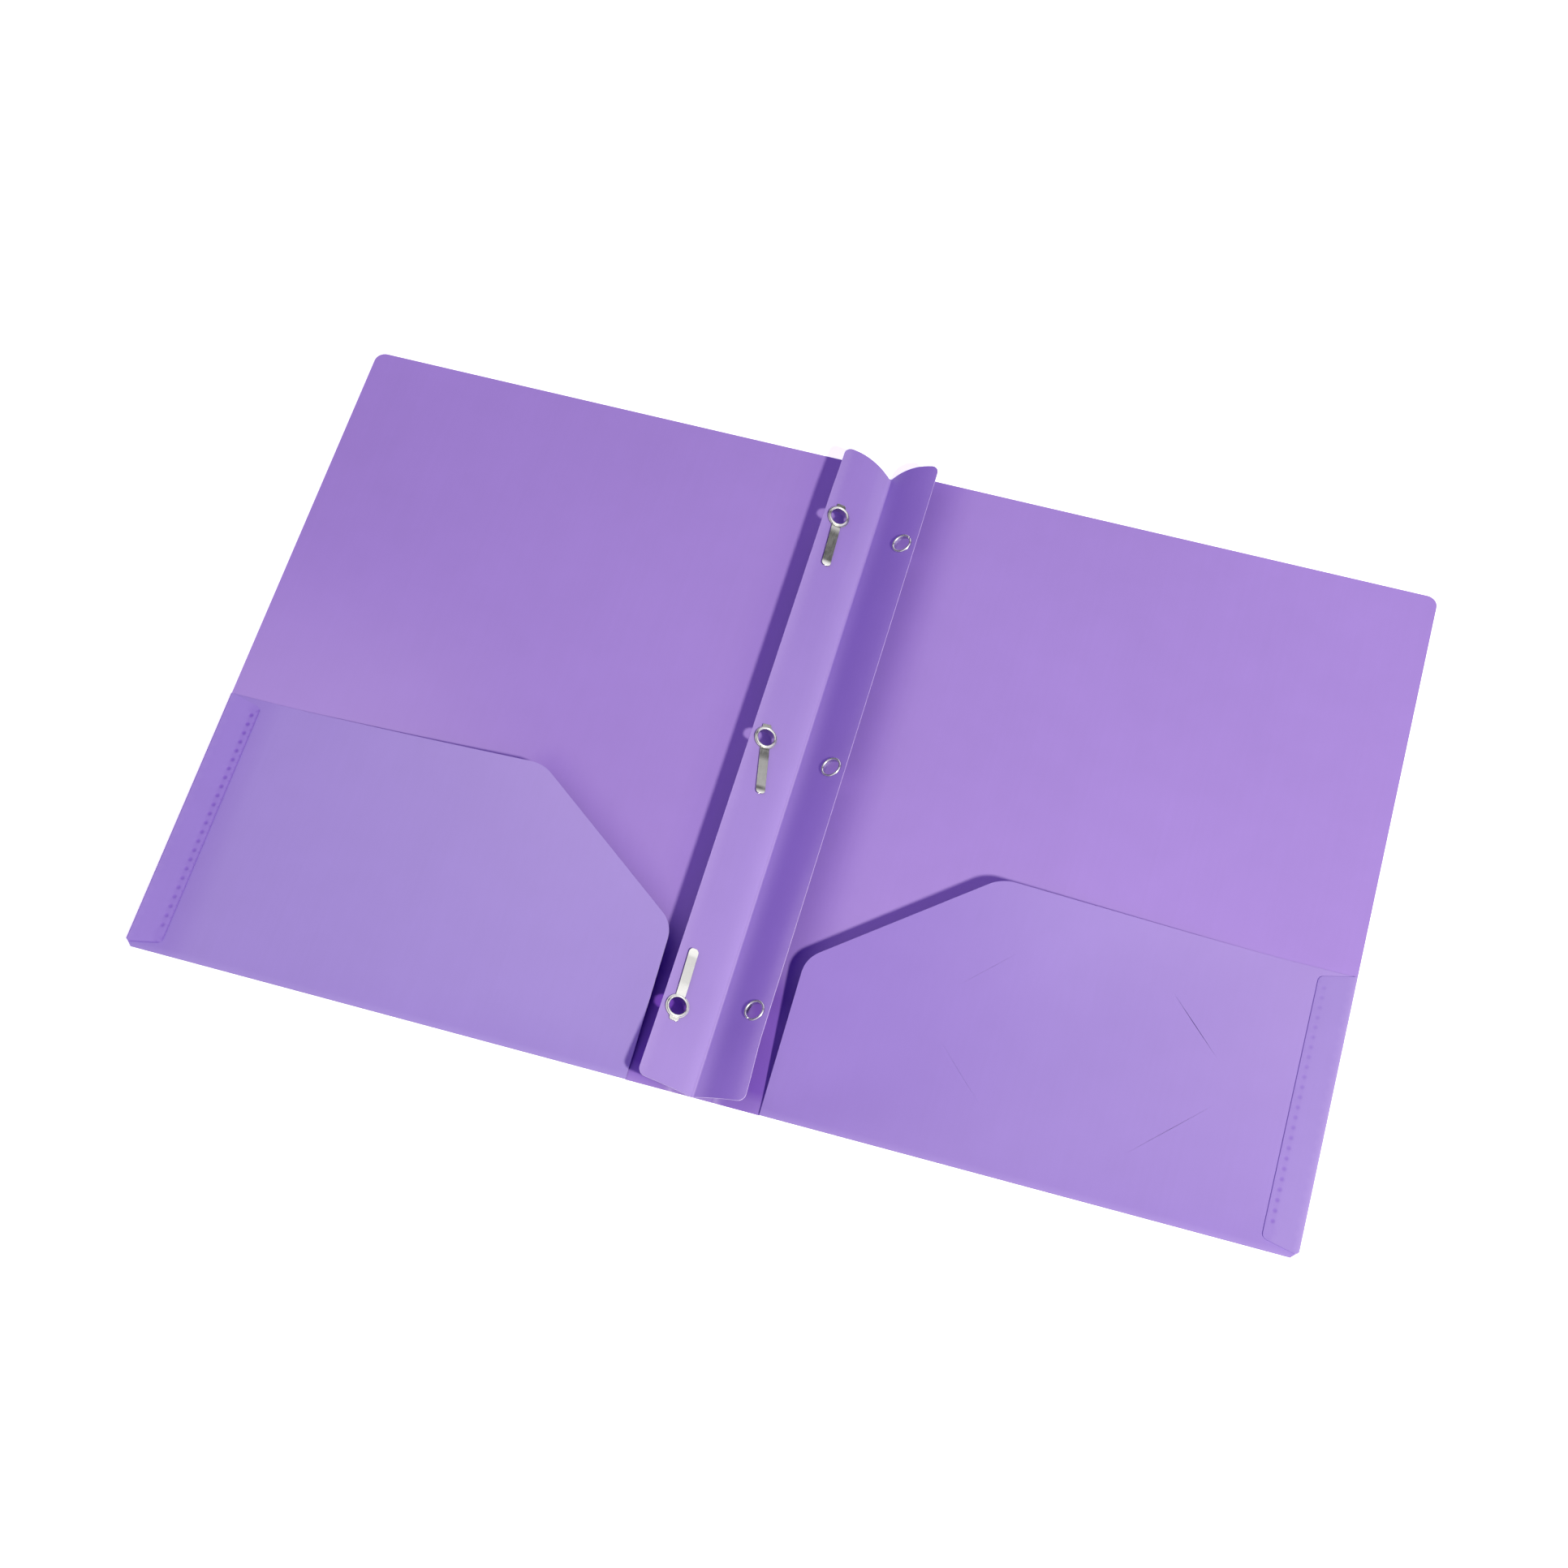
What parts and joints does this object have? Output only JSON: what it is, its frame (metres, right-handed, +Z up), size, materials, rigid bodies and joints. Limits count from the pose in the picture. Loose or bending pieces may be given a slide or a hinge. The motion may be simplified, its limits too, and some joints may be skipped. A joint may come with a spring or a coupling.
{
  "type": "two pocket folder",
  "caption": "Open plastic two pocket folder: hinged covers, slanted pockets with welded side tabs, and a gull-wing spine strip with bendable prongs and eyelets.",
  "frame": {"origin": "middle of the open folder's underside", "axes": "+X across the open folder from front cover to back cover, +Y up the spine towards the top edge, +Z up from the table"},
  "size_m": [0.466, 0.292, 0.0131],
  "materials": {
    "purple_sheet": "smooth matte extruded polypropylene sheet, fine sand grain",
    "fastener_steel": "bright nickel plated steel"
  },
  "bodies": {
    "spine": {"spine": "purple_sheet", "strip_seam": "purple_sheet"},
    "front_cover": {"front_cover": "purple_sheet", "front_pocket_panel": "purple_sheet", "front_side_tab": "purple_sheet"},
    "back_cover": {"back_cover": "purple_sheet", "back_pocket_panel": "purple_sheet", "back_side_tab": "purple_sheet"},
    "front_pocket_mouth": {"front_pocket_mouth": "purple_sheet"},
    "back_pocket_mouth": {"back_pocket_mouth": "purple_sheet"},
    "prong_flange": {"prong_flange": "purple_sheet", "prong_eyelet_top": "fastener_steel", "prong_eyelet_middle": "fastener_steel", "prong_eyelet_bottom": "fastener_steel"},
    "eyelet_flange": {"eyelet_flange": "purple_sheet", "receiving_eyelet_top": "fastener_steel", "receiving_eyelet_middle": "fastener_steel", "receiving_eyelet_bottom": "fastener_steel"},
    "prong_base_top": {"prong_base_top": "fastener_steel"},
    "prong_tang_top": {"prong_tang_top": "fastener_steel"},
    "prong_base_middle": {"prong_base_middle": "fastener_steel"},
    "prong_tang_middle": {"prong_tang_middle": "fastener_steel"},
    "prong_base_bottom": {"prong_base_bottom": "fastener_steel"},
    "prong_tang_bottom": {"prong_tang_bottom": "fastener_steel"}
  },
  "joints": [
    {"name": "front_cover_fold", "type": "hinge", "parent": "spine", "child": "front_cover", "pos_m": [-0.009, 0, 0.00045], "axis": [0, 1, 0], "range_deg": [0, 90]},
    {"name": "back_cover_fold", "type": "hinge", "parent": "spine", "child": "back_cover", "pos_m": [0.009, 0, 0.00045], "axis": [0, -1, 0], "range_deg": [0, 90]},
    {"name": "prong_flange_fold", "type": "hinge", "parent": "spine", "child": "prong_flange", "pos_m": [-0.0005, 0, 0.0009], "axis": [0, 1, 0], "range_deg": [0, 45]},
    {"name": "eyelet_flange_fold", "type": "hinge", "parent": "spine", "child": "eyelet_flange", "pos_m": [0.0005, 0, 0.0009], "axis": [0, -1, 0], "range_deg": [0, 45]},
    {"name": "front_pocket_flex", "type": "hinge", "parent": "front_cover", "child": "front_pocket_mouth", "pos_m": [-0.0266, -0.142, 0.0012], "axis": [-0.8264, 0.563, 0], "range_deg": [0, 10]},
    {"name": "back_pocket_flex", "type": "hinge", "parent": "back_cover", "child": "back_pocket_mouth", "pos_m": [0.0266, -0.142, 0.0012], "axis": [-0.8264, -0.563, 0], "range_deg": [0, 10]},
    {"name": "prong_swivel_top", "type": "hinge", "parent": "prong_flange", "child": "prong_base_top", "pos_m": [-0.01483, 0.11245, 0.00957], "axis": [0.3973, 0, 0.9177], "range_deg": [-15, 15]},
    {"name": "prong_bend_top", "type": "hinge", "parent": "prong_base_top", "child": "prong_tang_top", "pos_m": [-0.01437, 0.10646, 0.00997], "axis": [0.9168, 0.0436, -0.3969], "range_deg": [-90, 0]},
    {"name": "prong_swivel_middle", "type": "hinge", "parent": "prong_flange", "child": "prong_base_middle", "pos_m": [-0.01483, 0.0045, 0.00957], "axis": [0.3973, 0, 0.9177], "range_deg": [-15, 15]},
    {"name": "prong_bend_middle", "type": "hinge", "parent": "prong_base_middle", "child": "prong_tang_middle", "pos_m": [-0.01352, -0.00138, 0.00959], "axis": [0.8993, 0.1994, -0.3893], "range_deg": [-90, 0]},
    {"name": "prong_swivel_bottom", "type": "hinge", "parent": "prong_flange", "child": "prong_base_bottom", "pos_m": [-0.01483, -0.11545, 0.00957], "axis": [0.3973, 0, 0.9177], "range_deg": [-15, 15]},
    {"name": "prong_bend_bottom", "type": "hinge", "parent": "prong_base_bottom", "child": "prong_tang_bottom", "pos_m": [-0.01476, -0.10945, 0.01013], "axis": [-0.9174, -0.0262, 0.3972], "range_deg": [-90, 0]}
  ],
  "couplings": [
    {"joint": "prong_flange_fold", "follows": "front_cover_fold", "ratio": 0.5},
    {"joint": "front_pocket_flex", "follows": "front_cover_fold", "ratio": 0.111},
    {"joint": "eyelet_flange_fold", "follows": "back_cover_fold", "ratio": 0.5},
    {"joint": "back_pocket_flex", "follows": "back_cover_fold", "ratio": 0.111}
  ]
}
